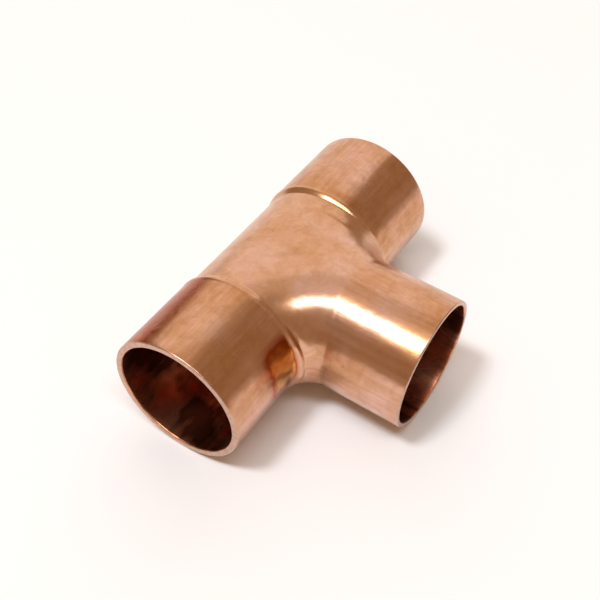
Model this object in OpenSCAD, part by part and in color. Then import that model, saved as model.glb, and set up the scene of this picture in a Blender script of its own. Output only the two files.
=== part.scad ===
// Solder-joint copper tee, in millimetres: one length of tube, bulged out sideways into a
// branch, its three ends sized to sockets that a tube slides into as far as a stop.
// The run lies along X and the branch points along -Y. The tee lies on the plane z = 0,
// and the origin is on that plane under the middle of its outline.

/* [Tube] */
// Outside diameter of the tube that each socket takes
tube_od = 15.875; // [12:0.005:30]
// Gap all round between tube and socket, which the solder fills
solder_gap = 0.0625; // [0.03:0.0025:0.12]

/* [Sockets] */
// Depth of a socket, from its mouth to the stop that the tube's end meets
socket_depth = 12.7; // [8:0.1:25]
// Wall of the two run sockets, which forming leaves thick
run_wall = 0.94; // [0.7:0.01:1.6]
// Wall of the branch socket, which forming draws thinner
branch_wall = 0.66; // [0.6:0.01:1.5]
// How far a stop stands in from its socket's wall
stop_height = 0.45; // [0.3:0.01:0.9]
// Width of the bevel inside each mouth
mouth_bevel = 0.3; // [0.1:0.01:0.5]
// Width of the bevel round each mouth's outer edge
mouth_break = 0.15; // [0.05:0.01:0.4]

/* [Body] */
// Wall of the body between the sockets
body_wall = 1; // [0.7:0.01:1.6]
// Radius of the outside blend in the crotch between run and branch
crotch_radius = 4; // [1.5:0.1:5]
// Radius of the waterway's blend in the crotch, where forming gathers metal into the web
waterway_radius = 3; // [1.5:0.1:3.6]
// Distance along the run from the branch's side to a run socket's stop
run_land = 0.95; // [0.6:0.05:4]
// Distance along the branch from the run's side to the branch socket's stop
branch_land = 0.95; // [0.6:0.05:4]
// Length over which the outside steps up from the body to a run socket
shoulder_length = 0.6; // [0.3:0.05:1.5]
// Length over which the branch eases out to its socket's diameter
branch_ease = 3; // [1:0.1:5]

/* [Hidden] */
$fn = 96;
past = 1;          // how far a cut runs past the surface that it opens
nest = 0.05;       // how much smaller the branch, and again a bend, is than the run

// Radii, from the tube outwards
socket_r = tube_od / 2 + solder_gap;
bore_r = socket_r - stop_height;
body_r = bore_r + body_wall;
run_r = socket_r + run_wall;
branch_r = socket_r + branch_wall;

// Distances from the point where the axes cross
run_stop = body_r + run_land;
branch_stop = body_r + branch_land;
run_end = run_stop + socket_depth;
branch_end = branch_stop + socket_depth;
shoulder_top = run_stop + body_wall * 0.2;
shoulder_foot = shoulder_top - shoulder_length;

// Radii of the bends whose inner sides make the crotches, outside and in the waterway
bend_r = body_r + crotch_radius;
waterway_bend_r = bore_r + waterway_radius;

// A quarter bend from one side of the run round into the branch
module bend(r, bend_r, side) {
    translate([side * bend_r, -bend_r, 0])
    rotate([0, 0, side > 0 ? 90 : 0])
    rotate_extrude(angle = 90)
        translate([bend_r, 0]) circle(r);
}

// The two bends, whose curve changes direction with the tee and not with the wall
module bends(r, bend_r) {
    for (side = [-1, 1]) bend(r, bend_r, side);
}

// Outside of the run: two sockets with the slimmer body between them
module run_outside() {
    rotate([0, 90, 0])
    rotate_extrude()
        polygon([
            [0, -run_end],
            [run_r - mouth_break, -run_end],
            [run_r, -run_end + mouth_break],
            [run_r, -shoulder_top],
            [body_r, -shoulder_foot],
            [body_r, shoulder_foot],
            [run_r, shoulder_top],
            [run_r, run_end - mouth_break],
            [run_r - mouth_break, run_end],
            [0, run_end]
        ]);
}

// Outside of the branch, from the run's axis to its mouth
module branch_outside() {
    rotate([90, 0, 0])
    rotate_extrude()
        polygon([
            [0, 0],
            [body_r - nest, 0],
            [body_r - nest, branch_stop],
            [branch_r, branch_stop + branch_ease],
            [branch_r, branch_end - mouth_break],
            [branch_r - mouth_break, branch_end],
            [0, branch_end]
        ]);
}

// Waterway through the run and up the branch, with its own pair of tighter bends
module waterway() {
    rotate([0, 90, 0]) cylinder(r = bore_r, h = 2 * (run_stop + past), center = true);
    rotate([90, 0, 0]) cylinder(r = bore_r - nest, h = branch_stop + past);
    bends(bore_r - 2 * nest, waterway_bend_r);
}

// Room for a tube: the socket's bore, the bevel at its mouth and the slope at its stop
module socket_bore(stop, end) {
    rotate_extrude()
        polygon([
            [0, stop - stop_height],
            [socket_r - stop_height, stop - stop_height],
            [socket_r, stop],
            [socket_r, end - mouth_bevel],
            [socket_r + mouth_bevel + past, end + past],
            [0, end + past]
        ]);
}

module tee_body() {
    color("#c98a66")
    translate([0, (branch_end - run_r) / 2, run_r])
    difference() {
        union() {
            run_outside();
            branch_outside();
            bends(body_r - 2 * nest, bend_r);
        }
        waterway();
        for (side = [-90, 90])
            rotate([0, side, 0]) socket_bore(run_stop, run_end);
        rotate([90, 0, 0]) socket_bore(branch_stop, branch_end);
    }
}

tee_body();
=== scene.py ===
from math import pi, radians, tau

import bmesh
import bpy
import numpy as np
from mathutils import Matrix, Vector


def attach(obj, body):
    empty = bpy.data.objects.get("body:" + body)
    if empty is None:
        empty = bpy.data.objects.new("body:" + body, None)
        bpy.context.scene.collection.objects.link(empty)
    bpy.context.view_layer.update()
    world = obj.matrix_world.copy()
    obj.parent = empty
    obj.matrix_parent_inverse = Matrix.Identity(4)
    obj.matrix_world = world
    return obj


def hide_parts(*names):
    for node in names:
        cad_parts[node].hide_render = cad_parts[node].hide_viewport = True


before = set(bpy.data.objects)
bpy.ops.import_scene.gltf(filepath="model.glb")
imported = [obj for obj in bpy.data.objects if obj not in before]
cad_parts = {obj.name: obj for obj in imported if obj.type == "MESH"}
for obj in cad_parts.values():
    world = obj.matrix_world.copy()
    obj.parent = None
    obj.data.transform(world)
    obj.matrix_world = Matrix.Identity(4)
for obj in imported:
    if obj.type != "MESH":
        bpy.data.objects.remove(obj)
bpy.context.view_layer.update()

# The pressed tube: one length of seamless copper tube, lying along X, whose wall is pushed
# out sideways along -Y by water pressure in a closed die. That leaves a thin branch, broad
# smooth webs in the two crotches, and one piece with no joint anywhere.
BODY_R = 8.55            # radius of the body between the sockets; every length here is in mm
BRANCH_R = 8.66          # outside of the branch's socket, drawn thin
SOCKET_R = 8.94          # outside of the run's two sockets, which keep their wall
SIZED_R = SOCKET_R - 0.06           # a run socket's skin, with room left for the bead
END = 22.2               # from the point where the axes cross to each mouth
FOOT, TOP = 8.8, 9.62    # where a run socket's shoulder begins and ends
BEAD, BEAD_AT, BEAD_WIDTH = 0.05, 9.78, 0.22       # the bead's height, place and half width
BRANCH_SHY = 0.03        # how much slimmer the branch is than the body where it begins
EASE = (6.5, 11.5)       # where the branch's widening begins and ends
WEB_BEND = BODY_R + 4.0  # radius of the two bends whose inner sides are the webs in the crotches
NEST = 0.06              # a bend is this much slimmer than the run, so that it sinks into it
WEB_BLEND = 7.0          # reach of the blend round a web, in square mm
BRANCH_BLEND = 8.0       # reach of the blend between run and branch, in square mm
BLEND_FADE = (6.1, 10.9)            # where the blends fade out, along either axis
CROWN = 2.5              # no blend on the very top, this far round the crossing of the axes
LEFT_OUT = 0.2           # the left shoulder stands this much further out than the right one


def rise(v, low, high):
    """0 up to low, 1 from high on, and between them 3t squared less 2t cubed, t being the share
    of the way from low to high."""
    t = np.clip((v - low) / (high - low), 0, 1)
    return t * t * (3 - 2 * t)


def outside_run(along):
    """Radius of the run's outside: the body's, then a rounded step up to the socket's, and on the
    step's edge a low bead, which is a bell curve."""
    along = np.where(along < 0, -along - LEFT_OUT, along)
    bead = BEAD * np.exp(-((along - BEAD_AT) / BEAD_WIDTH) ** 2)
    return BODY_R + (SIZED_R - BODY_R) * rise(along, FOOT, TOP) + bead


def outside_branch(along):
    """Radius of the branch's outside: just under the body's, easing out to the thin socket's."""
    return BODY_R - BRANCH_SHY + (BRANCH_R - BODY_R) * rise(along, *EASE)


def melt(a, b, reach):
    """The larger of two values. Where they differ by less than reach, the square of what is left
    of reach, over four times reach, is added, which rounds the crease between them."""
    near = np.clip(reach - np.abs(a - b), 0, None)
    return np.maximum(a, b) + near ** 2 / (4 * np.maximum(reach, 1e-6))


def height2(x, y, run, branch, body, bend_r):
    """Square of the skin's height over the tee's middle plane. A tube stands as high as the root
    of its radius squared less the distance from its centre line squared, and the highest of run,
    branch and bends counts. Behind the run the branch is half an ellipsoid, half as deep as wide."""
    fade = (1 - rise(np.abs(x), *BLEND_FADE)) * (1 - rise(np.abs(y), *BLEND_FADE))
    off_crown = rise(np.hypot(x, y), 0, CROWN)
    of_run = run(x) ** 2 - y ** 2
    of_branch = np.where(y < 0, branch(-y) ** 2 - x ** 2, branch(0 * y) ** 2 - x ** 2 - 4 * y ** 2)
    off_bend = np.hypot(np.abs(x) - bend_r, y + bend_r) - bend_r
    in_bend = (np.abs(x) < bend_r) & (y > -bend_r) & (y < body)
    of_bend = np.where(in_bend, (body - NEST) ** 2 - off_bend ** 2, -1e4)
    of_tubes = melt(of_run, of_branch, BRANCH_BLEND * fade * off_crown)
    return melt(of_tubes, of_bend, WEB_BLEND * fade)


def meet(start, way, skin, far=16.0):
    """How far along rays the skin lies: the stretch from nought to far, which is past the skin
    everywhere, is halved 40 times, keeping each time the half in which the ray comes out."""
    low = np.zeros(np.broadcast(start[0], way[0]).shape)
    high = low + far
    for _ in range(40):
        middle = (low + high) / 2
        x, y, z = (s + middle * w for s, w in zip(start, way))
        inside = height2(x, y, *skin) > z * z
        low, high = np.where(inside, middle, low), np.where(inside, high, middle)
    return low


ROUND = 192              # points round a leg
LEAST_STEP = 0.12        # from one station to the next, where the seam is past the station
turn = np.arange(ROUND) * tau / ROUND
front, up = np.cos(turn), np.sin(turn)


def leg_point(leg, along, across, z):
    """A point from its distance along a leg's axis, across it and up. The branch's leg points
    along -Y, the left leg along -X and the right leg along +X."""
    if leg == "branch":
        return across, -along, z
    return (along if leg == "right" else -along), -across, z


def leg_skin(leg, skin, stations):
    """One leg's skin on a grid. Its rows start at the seam, which is the 45 degree plane where legs
    meet, or the middle of the run's back, and are evenly spaced up to each station, which is a
    distance and a number of rows. A point is where a ray straight out from the axis meets the skin."""
    sideways = np.abs(front)
    joins = np.ones(ROUND, bool) if leg == "branch" else front > 1e-9
    nought = np.zeros(ROUND)
    seam = meet((nought, nought, nought), (sideways, -sideways, up), skin) * sideways
    here = np.where(joins, seam, 0.0)
    rows = [here[None]]
    for distance, count in stations:
        there = np.maximum(distance, here + LEAST_STEP * (here > 1))
        share = np.linspace(0, 1, count + 1)[1:, None]
        rows.append(here + (there - here) * share)
        here = there
    along = np.concatenate(rows)
    nought = 0 * along
    start = leg_point(leg, along, nought, nought)
    way = leg_point(leg, nought, front + nought, up + nought)
    return along, meet(start, way, skin)


# The waterway and sockets: the same pressed wall from inside. The ends are sized over a
# mandrel into sockets, each with a shallow sloped stop that a tube's end meets, and the
# waterway's bends are tighter than the outside's, because metal gathers in the webs.
BORE_R = 7.55            # radius of the waterway
TUBE_R = 8.0             # radius of a socket's bore
STOP = 9.5               # from the point where the axes cross to each stop
STOP_SLOPE = 0.42        # length of a stop's slope
INNER_BEND = BORE_R + 3.0


def inside_leg(along):
    """Radius inside a leg: the waterway's, then a rounded step out to the socket's bore."""
    return BORE_R + (TUBE_R - BORE_R) * rise(np.abs(along), STOP - STOP_SLOPE, STOP)


# The mouths: the three ends are cut off square, and the cutter's burr is broken, outside
# with a small rounding and inside with a wider one that leads the tube in. Each cut is a
# thin ring of fresh metal, paler than the skin.
EDGE = 0.16              # radius of the outer rounding
LEAD_IN = 0.22           # radius of the inner rounding
quarter = np.radians(np.linspace(0, 90, 6))[:, None]


def mouth_rows(outer, inner):
    """Rows round a mouth: a quarter circle of radius EDGE from the outside to the cut, then the
    cut, then a quarter circle of radius LEAD_IN from the cut to the bore."""
    along = np.concatenate([END - EDGE + EDGE * np.sin(quarter),
                            END - LEAD_IN + LEAD_IN * np.cos(quarter)])
    radius = np.concatenate([outer - EDGE * (1 - np.cos(quarter)),
                             inner + LEAD_IN * (1 - np.sin(quarter))])
    return along + 0 * radius, radius


# The shell: outside, cuts and waterway are one closed surface, as the real fitting is one
# piece of metal. The three legs are laid out one by one and welded along their seams, with
# rows closest together where the shoulders, the webs and the marks on them are.
OUTSIDE = (outside_run, outside_branch, BODY_R, WEB_BEND)
INSIDE = (inside_leg, inside_leg, BORE_R, INNER_BEND)
OUT_RUN = [(6.6, 14), (8.6, 24), (10.6, 44), (END - EDGE, 22)]
OUT_BRANCH = [(9.6, 26), (12.4, 12), (END - EDGE, 22)]
IN_LEG = [(9.0, 20), (9.6, 10), (END - LEAD_IN, 16)]
SKIN, CUT, BORE = 0, 1, 2          # the order of the piece's three finishes
grids, faces, finishes, leg_maps, skins, sized, first = [], [], [], [], [], [], 0
for leg in ("left", "right", "branch"):
    out_along, out_r = leg_skin(leg, OUTSIDE, OUT_BRANCH if leg == "branch" else OUT_RUN)
    in_along, in_r = leg_skin(leg, INSIDE, IN_LEG)
    lip_along, lip_r = mouth_rows(out_r[-1], in_r[-1])
    along = np.concatenate([out_along, lip_along[1:-1], in_along[::-1]])
    radius = np.concatenate([out_r, lip_r[1:-1], in_r[::-1]])
    grids.append(np.stack(leg_point(leg, along, radius * front, radius * up), axis=-1).reshape(-1, 3))
    leg_maps.append(np.stack([along, turn * SOCKET_R + 0 * along], axis=-1).reshape(-1, 2) / 10)
    skins.append(np.repeat(np.arange(len(along)) < len(out_r), ROUND))
    sized.append(rise(along, 8.9, 10.6).ravel())
    # the last three rows of the lead-in have the bore's finish, the mouth's other rows the cut's
    bands = np.repeat([SKIN, CUT, BORE], [len(out_r) - 1, len(lip_r) - 4, len(in_r) + 2])
    finishes.append(np.repeat(bands, ROUND))
    row = first + np.arange(len(along) - 1)[:, None] * ROUND
    step, after = np.arange(ROUND), (np.arange(ROUND) + 1) % ROUND
    corners = [row + step, row + after, row + ROUND + after, row + ROUND + step]
    faces.append(np.stack(corners, axis=-1).reshape(-1, 4))
    first += along.size
points, faces, on_skin = np.concatenate(grids), np.concatenate(faces), np.concatenate(skins)


def wander(points, size, seed):
    """Slow unevenness between -1 and 1: the mean of six sine waves, each about size mm long and
    running its own way."""
    rng = np.random.default_rng(seed)
    total = np.zeros(len(points))
    for _ in range(6):
        way = rng.normal(size=3)
        way *= tau / size * rng.uniform(0.7, 1.4) / np.linalg.norm(way)
        total += np.sin(points @ way + rng.uniform(0, tau))
    return total / 6


# What the press and the sizing left: a wall that is never quite even, a short step by the
# right shoulder where the die's insert met the tube, wrinkles in the webs, and by the left
# shoulder a rim with a groove beside it, where the web was folded against the socket.
WAVE, RIPPLE = 0.012, 0.006         # heights of the wall's unevenness, 9 mm and 3.5 mm long
INSERT, WRINKLE, RIM = 0.115, 0.12, 0.16           # heights of the marks
uneven = WAVE * (wander(points, 9, 3) - 1) + RIPPLE * (wander(points, 3.5, 8) - 1)
points[:, 2] *= 1 + uneven / BODY_R
x, y = points[:, 0], points[:, 1]
about = np.degrees(np.arctan2(points[:, 2], -y))   # degrees round the run, from its front upwards
insert_mark = INSERT * rise(x, 6.85, 7.3) * (1 - rise(x, 7.5, 8.4))
insert_mark = insert_mark * rise(about, 52, 60) * (1 - rise(about, 73, 82))
off_web = np.hypot(np.abs(x) - WEB_BEND, y + WEB_BEND) - (WEB_BEND - BODY_R + 0.1)
in_web = np.exp(-off_web ** 2) * (y > -WEB_BEND) * (np.abs(x) < WEB_BEND)
wrinkles = WRINKLE * wander(points, 2.6, 5) * in_web
rim = RIM * (np.exp(-((x + 9.95) / 0.26) ** 2) - np.exp(-((x + 9.3) / 0.24) ** 2))
rim *= rise(about, -70, -40) * (1 - rise(about, 35, 55))
points[:, 1:] *= (1 + on_skin * (insert_mark + wrinkles + rim) / BODY_R)[:, None]

# The tee lies on its two run sockets, its outline centred over the origin. Each leg has a
# map, in centimetres along it and round it, because the lines of drawing run along a leg;
# where a face crosses the map's edge, its low corners move on by the leg's girth.
AXES_MEET = np.array([0.0, (END - SOCKET_R) / 2, SOCKET_R])
tee_mesh = bpy.data.meshes.new("copper_tee")
tee_mesh.from_pydata(((points + AXES_MEET) / 1000).tolist(), [], faces.tolist())
tee_mesh.polygons.foreach_set("material_index", np.concatenate(finishes).astype(np.int32))
leg_map = np.concatenate(leg_maps)[faces]
girth = tau * SOCKET_R / 10
crosses = np.ptp(leg_map[..., 1], axis=1) > girth / 2
leg_map[..., 1] += np.where(crosses[:, None] & (leg_map[..., 1] < girth / 2), girth, 0)
tee_mesh.uv_layers.new(name="along_and_round").data.foreach_set("uv", leg_map.ravel())

# What the skin's finish needs at each point: how far the sizing has drawn it, and how strongly
# a painted reflection tints it. Along the left socket's upper back a red-brown streak is painted
# for a dark reflection, and beside the crotch a golden spot with a brown edge for the branch's
# reflection.
left = -points[:, 0]
behind = np.where(about < 0, about + 360, about)
painted_reflection_streak = rise(left, 9.9, 10.5) * rise(behind, 107, 121) * (1 - rise(behind, 142, 190))
painted_reflection_spot = np.exp(-((left - 12.4) / 2.4) ** 4 - ((about - 13) / 24) ** 4) * rise(left, 10.0, 10.6)
STREAK_REFLECTION_STRENGTH, SPOT_REFLECTION_STRENGTH = 0.6, 1.3   # strengths of the painted reflections; red-brown is 0.5 and gold is 1
painted_reflection = STREAK_REFLECTION_STRENGTH * painted_reflection_streak + SPOT_REFLECTION_STRENGTH * painted_reflection_spot
for name, values in (("sized", np.concatenate(sized)), ("painted_reflection", painted_reflection)):
    tee_mesh.attributes.new(name, "FLOAT", "POINT").data.foreach_set("value", values)

weld = bmesh.new()
weld.from_mesh(tee_mesh)
bmesh.ops.remove_doubles(weld, verts=weld.verts, dist=1e-6)
bmesh.ops.recalc_face_normals(weld, faces=weld.faces)
weld.to_mesh(tee_mesh)
weld.free()
tee_mesh.polygons.foreach_set("use_smooth", np.ones(len(tee_mesh.polygons), bool))
tee = bpy.data.objects.new("copper_tee", tee_mesh)
bpy.context.collection.objects.link(tee)


def hex_colour(code):
    """sRGB hex to linear: a part over 255 is divided by 12.92 up to 0.04045, or else 0.055 is
    added, the sum divided by 1.055 and raised to the power 2.4."""
    v = np.array([int(code[i:i + 2], 16) for i in (1, 3, 5)]) / 255
    return (*np.where(v <= 0.04045, v / 12.92, ((v + 0.055) / 1.055) ** 2.4), 1.0)


def node(nodes, kind, links=(), stops=(), **settings):
    """Adds a node with its settings, its colour stops if any, and the outputs linked into it."""
    made = nodes.new("ShaderNode" + kind)
    for _ in stops[2:]:
        made.color_ramp.elements.new(0.5)
    for index, (place, code) in enumerate(stops):
        made.color_ramp.elements[index].position = place
        made.color_ramp.elements[index].color = hex_colour(code)
    for key, value in settings.items():
        if hasattr(made, key):
            setattr(made, key, value)
        else:
            made.inputs[key.replace("_", " ")].default_value = value
    for socket, output in dict(links).items():
        nodes.id_data.links.new(output, made.inputs[socket])
    return made


# The skin: copper pressed against a polished die and washed. It mirrors its surroundings
# softly, and its colour drifts between yellow and pink where the wash dried. Grain of some
# 0.05 mm is drawn 0.28 mm wide so that it shows.
DRIFT, STAIN, PRESSED, GRAIN = 7.7, 1.25, 3.0, 0.28    # widths of the four patterns, in mm
skin_copper = bpy.data.materials.new("copper_pressed_and_washed")
skin_copper.use_nodes = True
nodes = skin_copper.node_tree.nodes
nodes.clear()
place = node(nodes, "TexCoord").outputs["Object"]
drift = node(nodes, "TexNoise", {"Vector": place}, Scale=1000 / DRIFT, Detail=5.0,
             Roughness=0.6).outputs["Fac"]
stains = node(nodes, "TexNoise", {"Vector": place}, Scale=1000 / STAIN, Detail=3.0,
              Roughness=0.6, Distortion=0.6).outputs["Fac"]
pressed = node(nodes, "TexNoise", {"Vector": place}, Scale=1000 / PRESSED, Detail=2.0,
               Roughness=0.5).outputs["Fac"]
grain = node(nodes, "TexNoise", {"Vector": place}, Scale=1000 / GRAIN, Detail=2.0,
             Roughness=0.6).outputs["Fac"]

# Sizing draws a socket over its mandrel and leaves lines along the leg, some 11 mm long and
# 0.9 mm apart. A unit of the map is 10 mm, so the pattern is scaled by 10 over each.
leg_place = node(nodes, "UVMap", uv_map="along_and_round").outputs["UV"]
stretched = node(nodes, "Mapping", {"Vector": leg_place},
                 Scale=(10 / 11, 10 / 0.9, 1.0)).outputs["Vector"]
lines = node(nodes, "TexNoise", {"Vector": stretched}, Scale=1.0, Detail=3.0,
             Roughness=0.7).outputs["Fac"]
share = node(nodes, "Attribute", attribute_name="sized").outputs["Fac"]
lines = node(nodes, "Math", {0: lines, 1: share}, operation="MULTIPLY").outputs["Value"]

base = node(nodes, "ValToRGB", {"Fac": drift}, [(0.34, "#C6915E"), (0.5, "#D6A888"), (0.66, "#E0BBAE")])
stain = node(nodes, "ValToRGB", {"Fac": stains}, [(0.3, "#C08A66"), (0.62, "#E4B494")])
A, B, MIXED = 6, 7, 2               # the sockets of a Mix node that mixes colours
colour = node(nodes, "Mix", {A: base.outputs[0], B: stain.outputs[0]}, data_type="RGBA",
              Factor=0.35)
dulled = node(nodes, "ValToRGB", {"Fac": lines}, [(0.34, "#FFFFFF"), (0.62, "#F1E7E0")])
colour = node(nodes, "Mix", {A: colour.outputs[MIXED], B: dulled.outputs[0]}, data_type="RGBA",
              blend_type="MULTIPLY", Factor=1.0)

# A painted reflection tints the metal, red-brown where it is weak and gold where it is strong.
# Its edge is made ragged by the same noise as the stains.
painted_reflection_tint = node(nodes, "Attribute", attribute_name="painted_reflection").outputs["Fac"]
smears = node(nodes, "Mix", {"A": drift, "B": stains}, Factor=0.45).outputs["Result"]
ragged = node(nodes, "MapRange", {"Value": smears}, From_Min=0.36, From_Max=0.6,
              To_Min=0.45, To_Max=1.1).outputs["Result"]
painted_reflection_tint = node(nodes, "Math", {0: painted_reflection_tint, 1: ragged}, operation="MULTIPLY").outputs["Value"]
painted_reflection_tint = node(nodes, "ValToRGB", {"Fac": painted_reflection_tint}, [(0.0, "#FFFFFF"), (0.5, "#C87640"), (1.0, "#FFEBA0")])
colour = node(nodes, "Mix", {A: colour.outputs[MIXED], B: painted_reflection_tint.outputs[0]}, data_type="RGBA",
              blend_type="MULTIPLY", Factor=1.0)

# Where the wash dried pale the skin is brighter, and where it dried yellow a little duller.
# The relief is shallow: 40 microns of pressing, 7 of stain, 4 of drawn lines, 1 of grain.
dullness = node(nodes, "MapRange", {"Value": smears}, From_Min=0.32, From_Max=0.68,
                To_Min=0.30, To_Max=0.17).outputs["Result"]
relief = node(nodes, "Bump", {"Height": pressed}, Distance=40e-6).outputs["Normal"]
relief = node(nodes, "Bump", {"Height": stains, "Normal": relief}, Distance=7e-6).outputs["Normal"]
relief = node(nodes, "Bump", {"Height": lines, "Normal": relief}, Distance=4e-6).outputs["Normal"]
relief = node(nodes, "Bump", {"Height": grain, "Normal": relief}, Distance=1.2e-6).outputs["Normal"]
shader = node(nodes, "BsdfPrincipled", {"Base Color": colour.outputs[MIXED], "Roughness": dullness,
                                        "Normal": relief}, Metallic=1.0)
node(nodes, "OutputMaterial", {"Surface": shader.outputs["BSDF"]})

# The cut: bare copper left by a saw and a deburring blade. It is paler and greyer than the
# skin and even all round. Its nicks, really some 0.1 mm apart, are drawn 0.45 mm apart so
# that they show.
cut_copper = bpy.data.materials.new("copper_cut_and_deburred")
cut_copper.use_nodes = True
nodes = cut_copper.node_tree.nodes
nodes.clear()
place = node(nodes, "TexCoord").outputs["Object"]
nicks = node(nodes, "TexNoise", {"Vector": place}, Scale=1000 / 0.45, Detail=3.0,
             Roughness=0.6).outputs["Fac"]
colour = node(nodes, "ValToRGB", {"Fac": nicks}, [(0.3, "#B8957F"), (0.7, "#D4B09C")])
relief = node(nodes, "Bump", {"Height": nicks}, Distance=7e-6).outputs["Normal"]
shader = node(nodes, "BsdfPrincipled", {"Base Color": colour.outputs[0], "Normal": relief},
              Metallic=1.0, Roughness=0.3)
node(nodes, "OutputMaterial", {"Surface": shader.outputs["BSDF"]})

# The bore: copper as the press and the mandrel left it, unpolished and browned by drawing
# oil. It is darker and redder than the skin, with stains 7 mm wide and with lines of
# drawing along the leg, 10 mm long and 2 mm apart, so it glows dark red from inside.
bore_copper = bpy.data.materials.new("copper_bore_as_formed")
bore_copper.use_nodes = True
nodes = bore_copper.node_tree.nodes
nodes.clear()
place = node(nodes, "TexCoord").outputs["Object"]
leg_place = node(nodes, "UVMap", uv_map="along_and_round").outputs["UV"]
stretched = node(nodes, "Mapping", {"Vector": leg_place},
                 Scale=(10 / 10, 10 / 2, 1.0)).outputs["Vector"]
oil = node(nodes, "TexNoise", {"Vector": place}, Scale=1000 / 7, Detail=2.0,
           Roughness=0.6).outputs["Fac"]
lines = node(nodes, "TexNoise", {"Vector": stretched}, Scale=1.0, Detail=4.0,
             Roughness=0.6).outputs["Fac"]
oil = node(nodes, "Mix", {"A": oil, "B": lines}, Factor=0.3).outputs["Result"]
colour = node(nodes, "ValToRGB", {"Fac": oil}, [(0.44, "#5E3322"), (0.58, "#F2A47E")])
dullness = node(nodes, "MapRange", {"Value": oil}, From_Min=0.35, From_Max=0.65,
                To_Min=0.4, To_Max=0.2).outputs["Result"]
relief = node(nodes, "Bump", {"Height": lines}, Distance=12e-6).outputs["Normal"]
shader = node(nodes, "BsdfPrincipled", {"Base Color": colour.outputs[0], "Roughness": dullness,
                                        "Normal": relief}, Metallic=1.0)
node(nodes, "OutputMaterial", {"Surface": shader.outputs["BSDF"]})

for material in (skin_copper, cut_copper, bore_copper):
    tee_mesh.materials.append(material)
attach(tee, "root")
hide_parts("tee_body")

# The floor: a sheet of white card six metres square under the tee. It is matt, so it shows
# only the tee's soft shadow and throws pale light up under it.
floor_mesh = bpy.data.meshes.new("floor")
floor_mesh.from_pydata([(-3, -3, 0), (3, -3, 0), (3, 3, 0), (-3, 3, 0)], [], [(0, 1, 2, 3)])
floor = bpy.data.objects.new("floor", floor_mesh)
bpy.context.collection.objects.link(floor)
card = bpy.data.materials.new("white_card")
card.use_nodes = True
nodes = card.node_tree.nodes
nodes.clear()
shader = node(nodes, "BsdfPrincipled", Roughness=0.9)
shader.inputs["Base Color"].default_value = hex_colour("#F3F6FC")
node(nodes, "OutputMaterial", {"Surface": shader.outputs["BSDF"]})
floor_mesh.materials.append(card)

# The light: a warm brown room with a long bright softbox overhead, which draws the gleam
# along the branch, a broad dim one at the back, a fainter one over that, and one so far
# off that it lights the whole floor evenly.
world = bpy.data.worlds.new("studio")
bpy.context.scene.world = world
world.use_nodes = True
world.node_tree.nodes["Background"].inputs["Color"].default_value = hex_colour("#9A8169")
world.node_tree.nodes["Background"].inputs["Strength"].default_value = 1.3
bpy.context.scene.view_settings.view_transform = "Standard"
centre = Vector(AXES_MEET / 1000)


def softbox(name, way, distance, long_way, length, width, glow):
    """An evenly glowing rectangle, in metres, that faces the tee from that direction, its long
    side along long_way. Its power is its glow times pi times its area."""
    data = bpy.data.lights.new(name, "AREA")
    data.shape, data.size, data.size_y = "RECTANGLE", length, width
    data.energy = glow * pi * length * width
    lamp = bpy.data.objects.new(name, data)
    way = Vector(way).normalized()
    across = way.cross(Vector(long_way)).normalized()
    turned = Matrix((across.cross(way), across, way)).transposed().to_4x4()
    lamp.matrix_world = Matrix.Translation(centre + way * distance) @ turned
    bpy.context.collection.objects.link(lamp)


softbox("softbox_overhead", (-0.27, -0.04, 0.93), 0.6, (0.41, -0.91, 0), 0.56, 0.11, 8.0)
softbox("softbox_over_back", (0.22, 0.2, 0.96), 0.9, (0.41, -0.91, 0), 0.6, 0.5, 0.35)
softbox("softbox_back", (0.857, 0.515, 0.5), 0.9, (0.515, -0.857, 0), 0.99, 1.1, 0.65)
far_light = bpy.data.lights.new("softbox_far", "SUN")
far_light.energy, far_light.angle = 1.13, radians(10)
far_lamp = bpy.data.objects.new("softbox_far", far_light)
far_lamp.rotation_euler = Vector((-0.34, 0.22, 0.91)).to_track_quat("Z", "Y").to_euler()
bpy.context.collection.objects.link(far_lamp)

# The camera: it looks down at the tee from the left and front, 128 mm from the point where
# the axes meet, near enough for the near mouths to look a little larger than the far end.
# The three steps to it are in socket radii.
camera = bpy.data.objects.new("camera", bpy.data.cameras.new("camera"))
bpy.context.collection.objects.link(camera)
camera.data.lens = 36 * 986.9 / 600      # the image is 986.9/600 times as far off as it is wide
right = Vector((0.5484, -0.8350, 0.0443))
over = Vector((0.6116, 0.4367, 0.6598))
back = Vector((-0.5703, -0.3348, 0.7502))
eye = centre + (0.262 * right - 0.200 * over + 14.264 * back) * SOCKET_R / 1000
camera.matrix_world = Matrix.Translation(eye) @ Matrix((right, over, back)).transposed().to_4x4()
camera.data.clip_start = 0.001
bpy.context.scene.camera = camera
